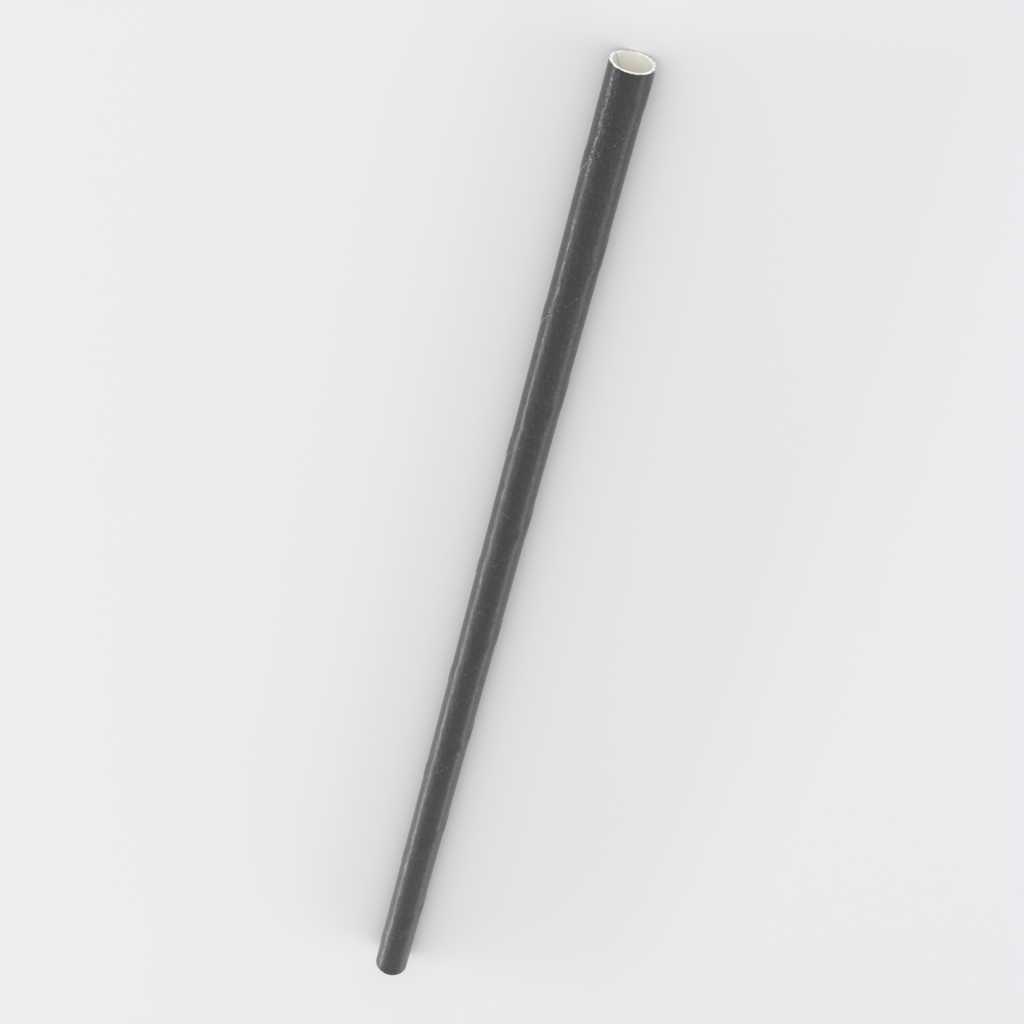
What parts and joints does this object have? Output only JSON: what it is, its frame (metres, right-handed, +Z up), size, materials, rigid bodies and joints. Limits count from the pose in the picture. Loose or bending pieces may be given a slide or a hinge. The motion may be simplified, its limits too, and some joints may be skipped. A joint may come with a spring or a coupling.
{
  "type": "paper drinking straw",
  "caption": "Spirally wound paper drinking straw: open tube of glued strips, black outside with a lapped helical seam, white bore.",
  "frame": {"origin": "on the ground, under the middle of the straw", "axes": "+X along the bore towards the mouth, +Z up from the ground that the straw lies on"},
  "size_m": [0.197, 0.0062, 0.0062],
  "materials": {
    "bore_paper": "matte, faintly creamy white",
    "core_paper": "matte white, seen only at the cut ends",
    "printed_paper": "black print with a satin sheen"
  },
  "bodies": {
    "root": {"inner_ply": "bore_paper", "middle_ply": "core_paper", "outer_ply": "printed_paper"}
  },
  "joints": []
}
